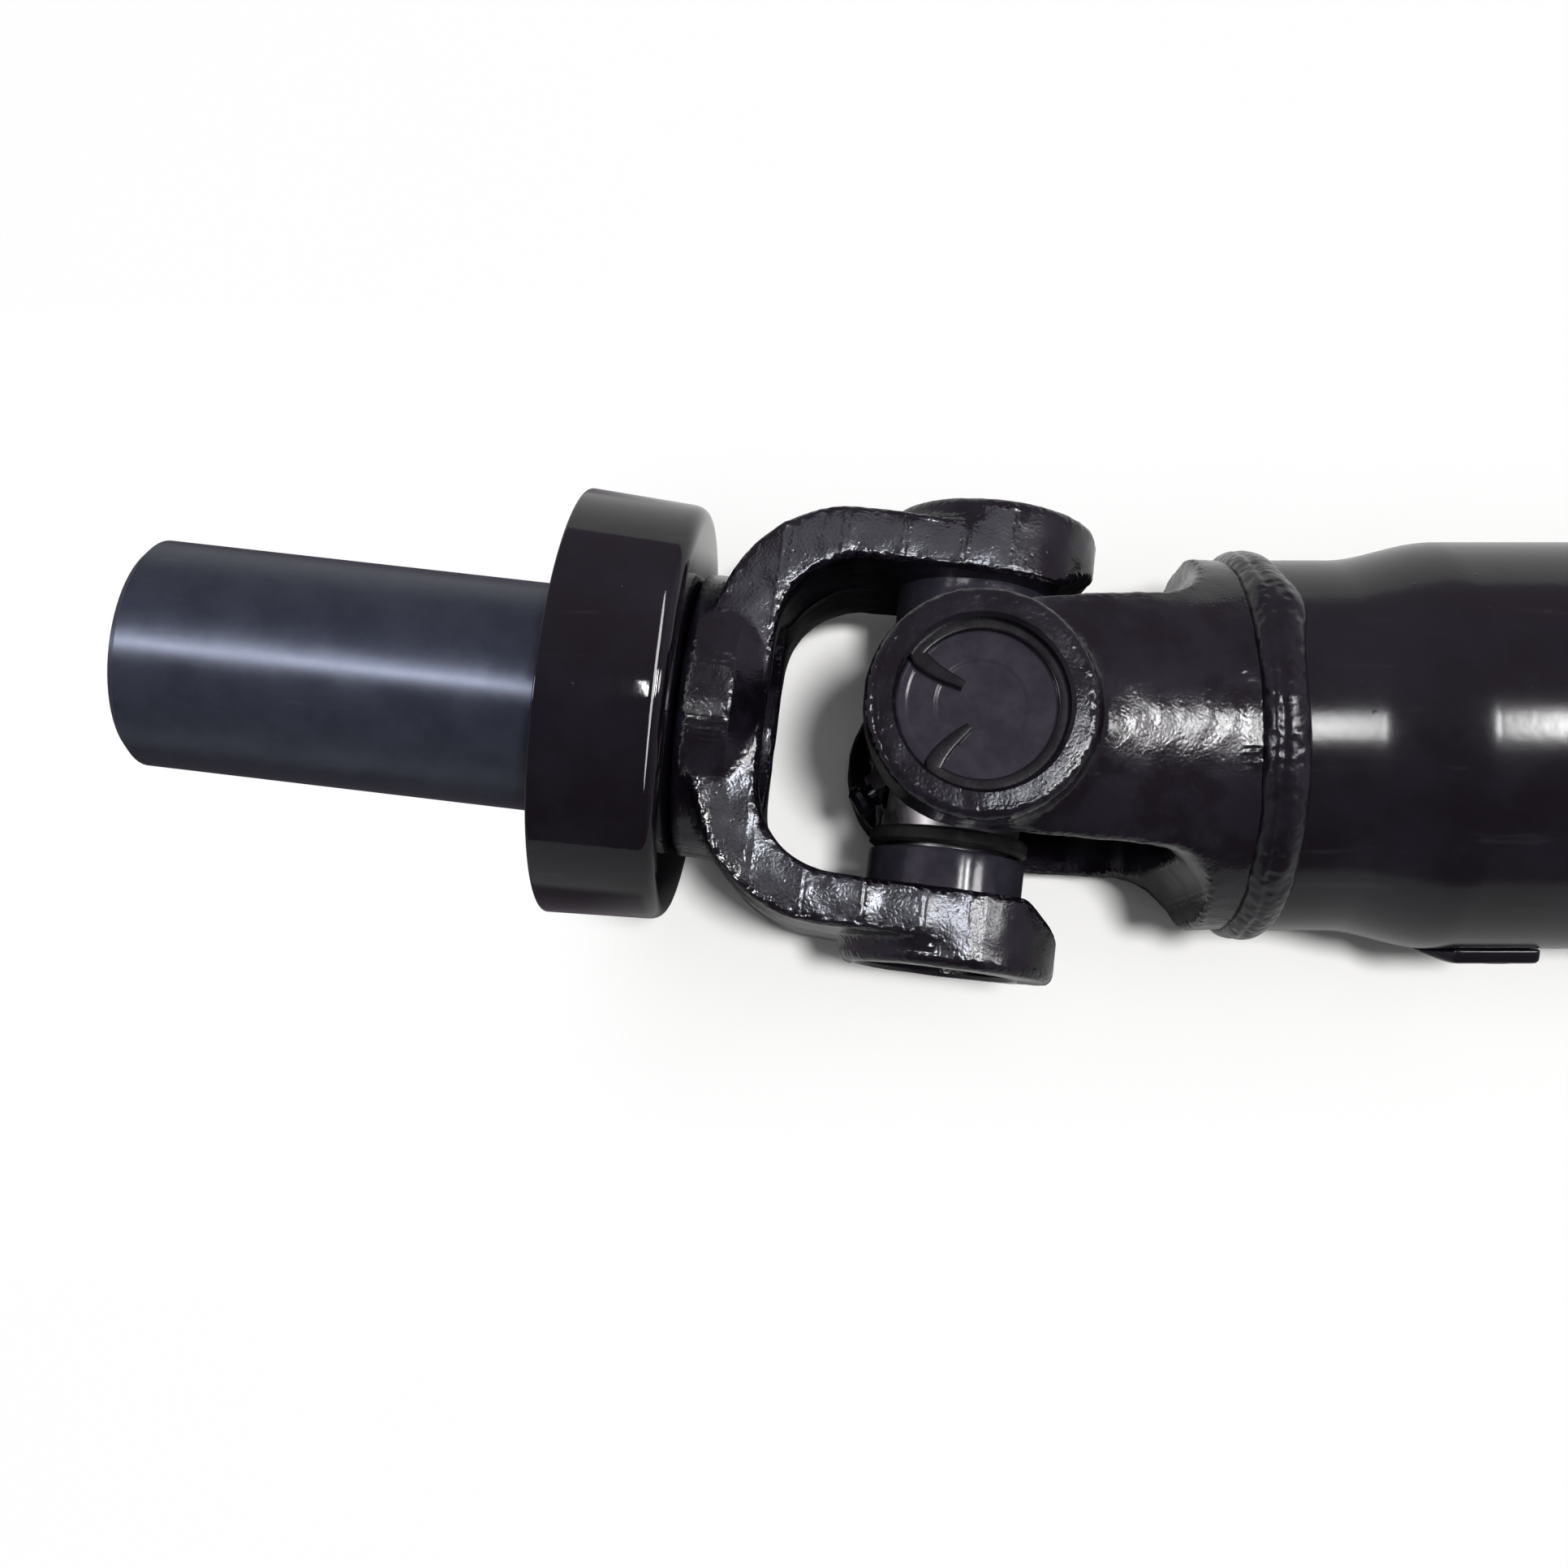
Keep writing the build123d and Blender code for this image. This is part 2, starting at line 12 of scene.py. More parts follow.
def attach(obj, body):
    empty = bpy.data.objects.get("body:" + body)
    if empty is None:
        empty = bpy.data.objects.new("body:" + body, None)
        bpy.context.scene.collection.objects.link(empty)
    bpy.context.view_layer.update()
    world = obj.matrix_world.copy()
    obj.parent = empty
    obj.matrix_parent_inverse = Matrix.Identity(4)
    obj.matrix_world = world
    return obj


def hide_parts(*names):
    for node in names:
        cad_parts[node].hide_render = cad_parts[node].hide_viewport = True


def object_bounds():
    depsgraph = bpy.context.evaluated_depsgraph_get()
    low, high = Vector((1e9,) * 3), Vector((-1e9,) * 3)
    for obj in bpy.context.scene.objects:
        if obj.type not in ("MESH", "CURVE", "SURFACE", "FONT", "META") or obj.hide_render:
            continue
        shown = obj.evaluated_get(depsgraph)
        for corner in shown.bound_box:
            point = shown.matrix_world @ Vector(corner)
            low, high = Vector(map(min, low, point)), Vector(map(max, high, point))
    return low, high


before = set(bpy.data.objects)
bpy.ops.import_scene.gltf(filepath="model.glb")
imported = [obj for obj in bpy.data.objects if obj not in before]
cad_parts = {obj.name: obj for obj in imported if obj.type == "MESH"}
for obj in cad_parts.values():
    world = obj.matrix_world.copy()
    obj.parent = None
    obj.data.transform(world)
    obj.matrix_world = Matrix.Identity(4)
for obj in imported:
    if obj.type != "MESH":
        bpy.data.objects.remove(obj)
cad_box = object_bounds()

MM = 0.001
REAR_X = -52.0
FRONT_X = -552.0


def turn(axis, degrees):
    return Matrix.Rotation(math.radians(degrees), 4, axis)


def shift(x=0.0, y=0.0, z=0.0):
    return Matrix.Translation((x, y, z))


# ------------------------------------------------------------ where each joint frame stands
# the joint centre is at the origin, +X towards the yoke's base, the ears on the Z axis
AT_FRONT_TUBE_YOKE = shift(FRONT_X)
AT_REAR_TUBE_YOKE = shift(REAR_X) @ turn("Z", 180)
AT_FLANGE_YOKE = shift(REAR_X) @ turn("X", 90)
AT_FRONT_CROSS = shift(FRONT_X) @ turn("Z", -7.0)
AT_SLIP_YOKE = AT_FRONT_CROSS @ turn("Y", -1.7) @ turn("Z", 180) @ turn("X", 90)

CUP_R = 14.3                   # bearing cup
CUP_BORE = 14.32               # its hole in an ear
GROOVE_R = 15.15               # snap ring groove
EAR_FACE = 42.2                # joint centre to an ear's outer face
EAR_INNER = 28.2
CUP_FACE = 38.5                # joint centre to a cup's closed face
TUBE_R = 37.5
SWAGE_R = 34.2                 # the tube's drawn-in ends
TUBE_WALL = 2.0
HUB_END = 50.0                 # joint centre to the end of a tube yoke's hub
SLEEVE_START = 56.0            # where the slip yoke's forged hub ends and its turned sleeve begins
FLANGE_FACE = 52.0
FLANGE_HALF = 42.5
FLANGE_CORNER = 14.0
BOLT_CIRCLE_R = 41.7
BOLT_HOLE_R = 5.25
PILOT_R = 23.5
PILOT_DEPTH = 3.0


# ------------------------------------------------------------ mesh helpers
def new_object(name, mesh):
    obj = bpy.data.objects.new(name, mesh)
    bpy.context.scene.collection.objects.link(obj)
    return obj


def from_faces(name, points, faces):
    mesh = bpy.data.meshes.new(name)
    mesh.from_pydata([tuple(p) for p in points], [], faces)
    mesh.validate()
    return new_object(name, mesh)


def tidy(obj, distance=1e-4):
    """Merges doubled points and turns the faces outwards."""
    bm = bmesh.new()
    bm.from_mesh(obj.data)
    bmesh.ops.remove_doubles(bm, verts=bm.verts, dist=distance)
    bmesh.ops.dissolve_degenerate(bm, edges=bm.edges, dist=distance)
    bmesh.ops.recalc_face_normals(bm, faces=bm.faces)
    bm.to_mesh(obj.data)
    bm.free()
    return obj


def apply(obj):
    """Makes the object's modifiers real."""
    graph = bpy.context.evaluated_depsgraph_get()
    mesh = bpy.data.meshes.new_from_object(obj.evaluated_get(graph))
    obj.modifiers.clear()
    obj.data = mesh
    return obj


def combine(obj, tool, operation):
    """obj after a boolean with tool, which is used up."""
    mod = obj.modifiers.new("cut", "BOOLEAN")
    mod.operation = operation
    mod.object = tool
    mod.solver = "MANIFOLD"
    apply(obj)
    bpy.data.objects.remove(tool)
    if not len(obj.data.polygons):
        raise RuntimeError(f"the boolean on {obj.name} left nothing")
    return obj


def rounded(points, radius, steps=5):
    """A closed outline with its corners rounded. A point may carry its own radius as a third number."""
    out = []
    count = len(points)
    for i, point in enumerate(points):
        r = point[2] if len(point) > 2 else radius
        here = Vector(point[:2])
        back = Vector(points[i - 1][:2]) - here
        ahead = Vector(points[(i + 1) % count][:2]) - here
        angle = back.angle(ahead, math.pi)
        if r <= 0 or angle > math.pi - 0.02:
            out.append(here)
            continue
        reach = min(r / math.tan(angle / 2), 0.45 * back.length, 0.45 * ahead.length)
        a, b = here + back.normalized() * reach, here + ahead.normalized() * reach
        for step in range(steps + 1):
            t = step / steps
            out.append(a * (1 - t) ** 2 + here * (2 * t * (1 - t)) + b * t ** 2)
    return out


def lathe(name, outline, axis="X", steps=160):
    """A closed outline of (along, radius) points turned about the axis."""
    points, faces = [], []
    n = len(outline)
    for k in range(steps):
        a = 2 * math.pi * k / steps
        for along, r in outline:
            side = (r * math.cos(a), r * math.sin(a))
            points.append((along, *side) if axis == "X" else (*side, along))
    for k in range(steps):
        for i in range(n):
            j, m = (i + 1) % n, (k + 1) % steps
            faces.append((k * n + i, k * n + j, m * n + j, m * n + i))
    return tidy(from_faces(name, points, faces))


def block(name, low, high):
    """A plain cutting block, never shown."""
    corners = [(x, y, z) for x in (low[0], high[0]) for y in (low[1], high[1]) for z in (low[2], high[2])]
    faces = [(0, 1, 3, 2), (4, 6, 7, 5), (0, 4, 5, 1), (2, 3, 7, 6), (0, 2, 6, 4), (1, 5, 7, 3)]
    return from_faces(name, corners, faces)


def cad_copy(node, name, at):
    """A CAD node's shape as a new closed mesh in its joint frame, in millimetres."""
    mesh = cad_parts[node].data.copy()
    mesh.transform(Matrix.Scale(1 / MM, 4))
    mesh.transform(at.inverted())
    for attribute in ("custom_normal", "sharp_face", "sharp_edge"):
        if attribute in mesh.attributes:
            mesh.attributes.remove(mesh.attributes[attribute])
    mesh.materials.clear()
    return tidy(new_object(name, mesh), 2e-3)


def points_of(mesh):
    co = np.empty(len(mesh.vertices) * 3)
    mesh.vertices.foreach_get("co", co)
    return co.reshape(-1, 3)


def normals_of(mesh):
    no = np.empty(len(mesh.vertices) * 3)
    mesh.vertices.foreach_get("normal", no)
    return no.reshape(-1, 3)


def relax(mesh, turns, weight):
    """Smooths the points of a mesh towards their neighbours, each by its weight, and returns how far each moved."""
    co = points_of(mesh)
    start = co.copy()
    edges = np.empty(len(mesh.edges) * 2, int)
    mesh.edges.foreach_get("vertices", edges)
    a, b = edges.reshape(-1, 2).T
    n = len(co)
    degree = np.bincount(a, minlength=n) + np.bincount(b, minlength=n)
    for _ in range(turns):
        mean = np.empty_like(co)
        for axis in range(3):
            total = np.bincount(a, co[b, axis], n) + np.bincount(b, co[a, axis], n)
            mean[:, axis] = total / degree
        co += (mean - co) * weight[:, None]
    mesh.vertices.foreach_set("co", co.ravel())
    mesh.update()
    return np.linalg.norm(co - start, axis=1)


def roughen(mesh, worn, seam):
    """Gives a forging the low waves of its die, lumps along its worn edges and a faint seam on its middle plane."""
    co, no = points_of(mesh), normals_of(mesh)
    height = np.empty(len(co))
    for i, p in enumerate(co):
        v = Vector(p)
        height[i] = (0.13 * noise.noise(v / 9) + 0.06 * noise.noise(v / 3.1)
                     + worn[i] * 0.16 * noise.noise(v / 1.7))
    if seam:
        along = np.abs(no[:, 1]) < 0.6
        height += along * 0.28 * np.exp(-(co[:, 1] / 0.9) ** 2)
    co += no * height[:, None]
    mesh.vertices.foreach_set("co", co.ravel())
    mesh.update()


FLAT_TURNS = 70                # passes that ease the faces between the edges


def forge(obj, voxel, turns, keep=None, seam=False):
    """Remeshes a blank evenly, rounds its edges as a die does and gives it a forged skin.

    keep(points) is how much each point stays where it was, from 0 to 1. The edges get a "worn" attribute."""
    mod = obj.modifiers.new("remesh", "REMESH")
    mod.mode = "VOXEL"
    mod.voxel_size = voxel
    apply(obj)
    mesh = obj.data
    weight = np.full(len(mesh.vertices), 0.6)
    if keep:
        weight *= 1 - keep(points_of(mesh))
    moved = relax(mesh, turns, weight)
    # smoothing moves the faces least and the edges most
    worn = np.clip((moved - 0.1) / 0.34, 0, 1)
    relax(mesh, FLAT_TURNS, weight * (1 - np.clip(moved / 0.16, 0, 1)))
    roughen(mesh, worn * (weight > 0), seam)
    layer = mesh.attributes.new("worn", "FLOAT", "POINT")
    layer.data.foreach_set("value", worn.astype(np.float32))
    return obj


def finish_piece(obj, material, at, body, nodes, smooth=35.0, second=None):
    """Places a finished piece from its joint frame, shades it, hangs it on its body and hides the CAD nodes it stands
    for.
    second is (material, x): another finish for what lies beyond x in the joint frame."""
    mesh = obj.data
    beyond = [second is not None and face.center.x > second[1] for face in mesh.polygons]
    mesh.transform(at)
    mesh.transform(Matrix.Scale(MM, 4))
    co = points_of(mesh)
    np.clip(co, np.array(cad_box[0]), np.array(cad_box[1]), out=co)
    mesh.vertices.foreach_set("co", co.ravel())
    mesh.update()
    mesh.materials.clear()
    mesh.materials.append(material)
    if second:
        mesh.materials.append(second[0])
    mesh.polygons.foreach_set("material_index", np.array(beyond, int))
    mesh.polygons.foreach_set("use_smooth", [True] * len(mesh.polygons))
    mesh.set_sharp_from_angle(angle=math.radians(smooth))
    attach(obj, body)
    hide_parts(*nodes)
    return obj


# ------------------------------------------------------------ materials
def feed(socket, value):
    """Links a socket to another node's output, or gives it a plain value."""
    if isinstance(value, bpy.types.NodeSocket):
        socket.id_data.links.new(value, socket)
    else:
        socket.default_value = value


class Shader:
    """A material with one Principled shader, with textures laid out in millimetres in the joint frame at."""

    def __init__(self, name, at=None, **constants):
        self.material = bpy.data.materials.new(name)
        self.material.use_nodes = True
        self.tree = self.material.node_tree
        self.bsdf = self.tree.nodes["Principled BSDF"]
        for socket, value in constants.items():
            self.bsdf.inputs[socket.replace("_", " ")].default_value = value
        self.whole = self.node("ShaderNodeTexCoord").outputs["Object"]
        scale = self.node("ShaderNodeMapping", Vector=self.whole)
        scale.inputs["Scale"].default_value = (1 / MM,) * 3
        if at is not None:
            place, spin, _ = at.inverted().decompose()
            scale.inputs["Location"].default_value = place
            scale.inputs["Rotation"].default_value = spin.to_euler()
        self.place = scale.outputs["Vector"]

    def node(self, kind, inputs=None, **linked):
        made = self.tree.nodes.new(kind)
        for key, value in {**(inputs or {}), **linked}.items():
            feed(made.inputs[key], value)
        return made

    def stretched(self, x=1.0, y=1.0, z=1.0):
        made = self.node("ShaderNodeMapping", Vector=self.place)
        made.inputs["Scale"].default_value = (x, y, z)
        return made.outputs["Vector"]

    def noise(self, size, detail=4.0, roughness=0.55, distortion=0.0, place=None):
        made = self.node("ShaderNodeTexNoise", {"Scale": 1 / size, "Detail": detail, "Roughness": roughness,
                                                "Distortion": distortion}, Vector=place or self.place)
        return made.outputs["Fac"]

    def cells(self, size, feature="F1"):
        made = self.node("ShaderNodeTexVoronoi", {"Scale": 1 / size}, Vector=self.place)
        made.feature = feature
        return made.outputs["Distance"]

    def remap(self, value, low, high, to_low=0.0, to_high=1.0):
        ends = {"From Min": low, "From Max": high, "To Min": to_low, "To Max": to_high}
        made = self.node("ShaderNodeMapRange", ends, Value=value)
        made.interpolation_type = "SMOOTHSTEP"
        return made.outputs["Result"]

    def math(self, operation, a, b=0.5):
        made = self.tree.nodes.new("ShaderNodeMath")
        made.operation = operation
        feed(made.inputs[0], a)
        feed(made.inputs[1], b)
        return made.outputs[0]

    def vector_math(self, operation, *values):
        made = self.tree.nodes.new("ShaderNodeVectorMath")
        made.operation = operation
        for socket, value in zip(made.inputs, values):
            feed(socket, value)
        return made.outputs[0]

    def mix(self, factor, a, b):
        """Two colours mixed. The mix node keeps its colours after its number and vector sockets."""
        made = self.tree.nodes.new("ShaderNodeMix")
        made.data_type = "RGBA"
        for index, value in ((0, factor), (6, a), (7, b)):
            feed(made.inputs[index], value)
        return made.outputs[2]

    def blend(self, a, b, share):
        """Two heights or tones added up, with the first one's share of the sum."""
        return self.math("ADD", self.math("MULTIPLY", a, share), self.math("MULTIPLY", b, round(1 - share, 6)))

    def attribute(self, name):
        made = self.node("ShaderNodeAttribute")
        made.attribute_name = name
        return made.outputs["Fac"]

    def bump(self, height, distance, below=None):
        """One more layer of relief, distance millimetres high for a height of 1."""
        made = self.node("ShaderNodeBump", {"Distance": distance * MM}, Height=height)
        if below is not None:
            feed(made.inputs["Normal"], below)
        return made.outputs["Normal"]

    def use(self, **sockets):
        for name, value in sockets.items():
            feed(self.bsdf.inputs[name.replace("_", " ")], value)
        return self.material


INK = (0.0028, 0.0018, 0.0034, 1)
INK_LIGHT = (0.0062, 0.0055, 0.0088, 1)
DUST = (0.028, 0.027, 0.031, 1)


def smooth_paint(name, peel_size, gloss):
    """Sprayed black gloss on sheet steel: orange peel, a few dust nibs and faint rub marks."""
    s = Shader(name, IOR=1.45)
    cloud = s.noise(18, 5, 0.6)
    peel = s.noise(peel_size, 2, 0.4)
    rub = s.noise(3.0, 3, 0.6, place=s.stretched(0.12, 1.0, 1.0))
    nibs = s.remap(s.cells(5.5), 0.04, 0.09, 1.0, 0.0)
    colour = s.mix(s.remap(cloud, 0.35, 0.7), INK, INK_LIGHT)
    colour = s.mix(s.remap(rub, 0.62, 0.8, 0.0, 0.35), colour, DUST)
    rough = s.remap(s.blend(cloud, rub, 0.6), 0.3, 0.7, *gloss)
    normal = s.bump(peel, 0.012)
    normal = s.bump(nibs, 0.03, below=normal)
    return s.use(Base_Color=colour, Roughness=rough, Normal=normal)


def forged_paint():
    """The same paint over a scaled forging: leathery wrinkles, pits and shiny lumps along the worn edges."""
    s = Shader("forging_gloss", IOR=1.45)
    warp = s.noise(2.6, 3, 0.6, 1.5)
    wrinkle = s.remap(s.cells(0.95, "DISTANCE_TO_EDGE"), 0.0, 0.35)
    leather = s.math("ADD", s.math("MULTIPLY", wrinkle, 0.5), s.math("MULTIPLY", warp, 0.9))
    grit = s.noise(0.45, 4, 0.65)
    pits = s.remap(s.cells(2.3), 0.07, 0.2, 0.0, 1.0)
    patch = s.remap(s.noise(8, 3, 0.6), 0.38, 0.62)
    colour = s.mix(patch, INK, INK_LIGHT)
    colour = s.mix(s.remap(grit, 0.66, 0.85, 0.0, 0.15), colour, DUST)
    rough = s.remap(s.blend(patch, grit, 0.5), 0.25, 0.75, 0.14, 0.21)
    normal = s.bump(leather, 0.018)
    normal = s.bump(grit, 0.012, below=normal)
    normal = s.bump(pits, 0.02, below=normal)
    lumps = s.math("MULTIPLY", s.attribute("worn"), s.remap(s.cells(1.25, "SMOOTH_F1"), 0.1, 0.7))
    normal = s.bump(lumps, 0.24, below=normal)
    return s.use(Base_Color=colour, Roughness=rough, Normal=normal)


def bead_paint():
    s = Shader("weld_bead_paint", IOR=1.45)
    grit = s.noise(0.7, 4, 0.6)
    cloud = s.noise(5, 3, 0.5)
    colour = s.mix(s.remap(cloud, 0.35, 0.65), INK, INK_LIGHT)
    rough = s.remap(grit, 0.3, 0.7, 0.12, 0.24)
    lumps = s.remap(s.cells(1.9, "SMOOTH_F1"), 0.1, 0.7)
    normal = s.bump(lumps, 0.16)
    return s.use(Base_Color=colour, Roughness=rough, Normal=s.bump(grit, 0.05, below=normal))


def small_paint(name, rough_low=0.14, rough_high=0.22, paint_or_painted_light_tones=(INK, INK_LIGHT)):
    """Paint on the cups, rings and other small machined pieces. Its two tones are the paint's own, except on the
    cups, which are lighter as a painted reflection, and on the snap rings, which are darker as painted shade.
    """
    s = Shader(name, IOR=1.45)
    cloud = s.noise(4.5, 4, 0.6)
    fine = s.noise(0.8, 3, 0.5)
    colour = s.mix(s.remap(cloud, 0.35, 0.65), *paint_or_painted_light_tones)
    rough = s.remap(s.blend(cloud, fine, 0.7), 0.3, 0.7, rough_low, rough_high)
    return s.use(Base_Color=colour, Roughness=rough, Normal=s.bump(fine, 0.008))


def ground_steel(name, rough=0.3):
    s = Shader(name, Metallic=1.0)
    lines = s.noise(0.35, 3, 0.6, place=s.stretched(1.0, 0.15, 0.15))
    cloud = s.noise(6, 4, 0.6)
    colour = s.mix(s.remap(cloud, 0.3, 0.7), (0.36, 0.35, 0.34, 1), (0.5, 0.5, 0.5, 1))
    value = s.remap(s.blend(cloud, lines, 0.5), 0.3, 0.7, rough, rough + 0.16)
    return s.use(Base_Color=colour, Roughness=value, Normal=s.bump(lines, 0.006))


def rubber():
    s = Shader("seal_rubber_skin", Metallic=0.0, IOR=1.5, Specular_IOR_Level=0.3)
    dust = s.noise(3, 5, 0.65)
    fine = s.noise(0.5, 3, 0.6)
    colour = s.mix(s.remap(dust, 0.45, 0.75), (0.006, 0.006, 0.0065, 1), (0.018, 0.017, 0.016, 1))
    return s.use(Base_Color=colour, Roughness=s.remap(dust, 0.3, 0.7, 0.5, 0.72), Normal=s.bump(fine, 0.02))


SHEET = smooth_paint("sheet_gloss", 1.75, (0.16, 0.21))
COVER = smooth_paint("cover_gloss", 2.25, (0.04, 0.08))
FORGED = forged_paint()
BEAD = bead_paint()
SMALL = small_paint("small_parts_gloss")
# the cups' tones are lighter than the black paint: a painted reflection of the grey room on their faces
CUP_TONES_PAINTED_REFLECTION = ((0.017, 0.0155, 0.023, 1), (0.025, 0.023, 0.032, 1))
# the snap rings' tones are darker than the black paint: painted shade that sets them off from the cups
RING_TONES_PAINTED_SHADE = ((0.001, 0.0009, 0.0012, 1), (0.003, 0.0028, 0.0036, 1))
CUP_PAINT_PAINTED_REFLECTION = small_paint("cup_gloss_painted_reflection", 0.12, 0.19, CUP_TONES_PAINTED_REFLECTION)
RING_PAINT_PAINTED_SHADE = small_paint("snap_ring_black_painted_shade", 0.2, 0.3, RING_TONES_PAINTED_SHADE)
STEEL = ground_steel("ground_cross_steel")
NEEDLE = ground_steel("needle_polish", 0.16)
RUBBER = rubber()


def turned_satin():
    """The sleeve's satin blue-grey: fine lines turned round its axis, rub marks along it."""
    s = Shader("satin_sleeve", AT_SLIP_YOKE, Metallic=0.6, IOR=1.5, Anisotropic=0.92, Anisotropic_Rotation=0.25)
    lines = s.noise(0.5, 4, 0.7, place=s.stretched(1.0, 0.02, 0.02))
    handling = s.noise(9, 5, 0.65)
    streak = s.noise(2.2, 4, 0.7, place=s.stretched(0.1, 1.0, 1.0))
    satin = s.mix(s.remap(handling, 0.3, 0.7), (0.036, 0.042, 0.062, 1), (0.052, 0.06, 0.084, 1))
    satin = s.mix(s.remap(streak, 0.6, 0.78, 0.0, 0.4), satin, (0.1, 0.105, 0.13, 1))
    rough = s.remap(s.blend(handling, lines, 0.6), 0.3, 0.7, 0.38, 0.48)
    # the lines run round the sleeve's axis, which passes through the front joint's centre
    arm = s.vector_math("SUBTRACT", s.whole, (FRONT_X * MM, 0, 0))
    around = s.vector_math("CROSS_PRODUCT", AT_SLIP_YOKE.to_3x3() @ Vector((1, 0, 0)), arm)
    world = s.node("ShaderNodeVectorTransform", Vector=s.vector_math("NORMALIZE", around))
    world.vector_type = "VECTOR"
    world.convert_from = "OBJECT"
    world.convert_to = "WORLD"
    return s.use(Base_Color=satin, Roughness=rough, Normal=s.bump(lines, 0.006), Tangent=world.outputs["Vector"])


SATIN = turned_satin()


# ------------------------------------------------------------ forgings
def ear_plugs(obj):
    """Fills a yoke's two cup holes, so that they are cut clean after the forging's skin is made."""
    for sign in (1, -1):
        low, high = sorted((sign * (EAR_INNER + 0.02), sign * (EAR_FACE - 0.02)))
        combine(obj, lathe("plug", [(low, 0), (low, 15.9), (high, 15.9), (high, 0)], "Z", 96), "UNION")
    return obj


def ear_holes(obj):
    """Bores the two cup holes with their snap ring grooves and lead-ins."""
    groove = CUP_FACE + 0.02, CUP_FACE + 1.62
    side = [(15.0, 0), (15.0, CUP_BORE), (groove[0], CUP_BORE), (groove[0], GROOVE_R), (groove[1], GROOVE_R),
            (groove[1], CUP_BORE), (EAR_FACE - 0.75, CUP_BORE), (EAR_FACE + 0.3, CUP_BORE + 1.0),
            (EAR_FACE + 3, CUP_BORE + 1.0), (EAR_FACE + 3, 0)]
    for sign in (1, -1):
        combine(obj, lathe("bore", [(sign * z, r) for z, r in side], "Z", 128), "DIFFERENCE")
    return obj


def slip_yoke():
    fork = cad_copy("slip_yoke", "slip_yoke_forging", AT_SLIP_YOKE)
    sleeve = new_object("sleeve", fork.data.copy())
    combine(fork, block("cut", (SLEEVE_START + 0.3, -60, -60), (200, 60, 60)), "DIFFERENCE")
    combine(sleeve, block("cut", (-60, -60, -60), (SLEEVE_START - 0.3, 60, 60)), "DIFFERENCE")
    ear_plugs(fork)

    def keep(co):
        r = np.hypot(co[:, 1], co[:, 2])
        return np.clip((co[:, 0] - 49.0) / 1.5, 0, 1) * (r > 18)

    forge(fork, 0.62, 13, keep, seam=True)
    combine(fork, block("cut", (SLEEVE_START + 0.2, -60, -60), (200, 60, 60)), "DIFFERENCE")
    seat = [(30.0, 0), (30.0, 18.2), (40.0, 18.2), (40.0, 15.4), (58.0, 15.4), (58.0, 0)]
    combine(fork, lathe("seat", seat, "X", 128), "DIFFERENCE")
    ear_holes(fork)
    combine(fork, sleeve, "UNION")
    return finish_piece(fork, FORGED, AT_SLIP_YOKE, "slip_yoke", ["slip_yoke"],
                        second=(SATIN, SLEEVE_START + 0.5))


def tube_yoke(node, at):
    yoke = ear_plugs(cad_copy(node, node + "_forging", at))
    forge(yoke, 0.7, 10)
    ear_holes(yoke)
    return finish_piece(yoke, FORGED, at, "shaft", [node])


def flange_yoke():
    yoke = ear_plugs(cad_copy("flange_yoke", "flange_yoke_forging", AT_FLANGE_YOKE))
    face, half = FLANGE_FACE, FLANGE_HALF
    lip = rounded([(-half, -half), (half, -half), (half, half), (-half, half)], FLANGE_CORNER * 1.2, 10)
    points = [(x, a, b) for x in (face - 3, face + 3) for a, b in lip]
    n = len(lip)
    faces = [tuple(range(n)), tuple(range(2 * n - 1, n - 1, -1))]
    faces += [(i, (i + 1) % n, n + (i + 1) % n, n + i) for i in range(n)]
    combine(yoke, tidy(from_faces("lip", points, faces)), "UNION")
    corners = [math.radians(45 + 90 * i) for i in range(4)]
    at_bolts = [shift(0, BOLT_CIRCLE_R * math.cos(a), BOLT_CIRCLE_R * math.sin(a)) for a in corners]
    for place in at_bolts:
        plug = lathe("plug", [(43.2, 0), (43.2, 7), (face, 7), (face, 0)], "X", 48)
        plug.data.transform(place)
        combine(yoke, plug, "UNION")
    forge(yoke, 0.75, 9, seam=True)
    combine(yoke, block("cut", (face, -80, -80), (90, 80, 80)), "DIFFERENCE")
    pilot = [(face - PILOT_DEPTH, 0), (face - PILOT_DEPTH, PILOT_R), (face - 0.5, PILOT_R), (face + 0.5, PILOT_R + 1),
             (face + 2, PILOT_R + 1), (face + 2, 0)]
    combine(yoke, lathe("pilot", pilot, "X", 128), "DIFFERENCE")
    lead = BOLT_HOLE_R + 0.95
    hole = [(42.0, 0), (42.0, BOLT_HOLE_R), (face - 0.5, BOLT_HOLE_R), (face + 0.5, lead), (face + 2, lead),
            (face + 2, 0)]
    for place in at_bolts:
        tool = lathe("hole", hole, "X", 64)
        tool.data.transform(place)
        combine(yoke, tool, "DIFFERENCE")
    ear_holes(yoke)
    return finish_piece(yoke, FORGED, AT_FLANGE_YOKE, "flange_yoke", ["flange_yoke"])


FORGINGS = [
    slip_yoke(),
    tube_yoke("front_tube_yoke", AT_FRONT_TUBE_YOKE),
    tube_yoke("rear_tube_yoke", AT_REAR_TUBE_YOKE),
    flange_yoke(),
]


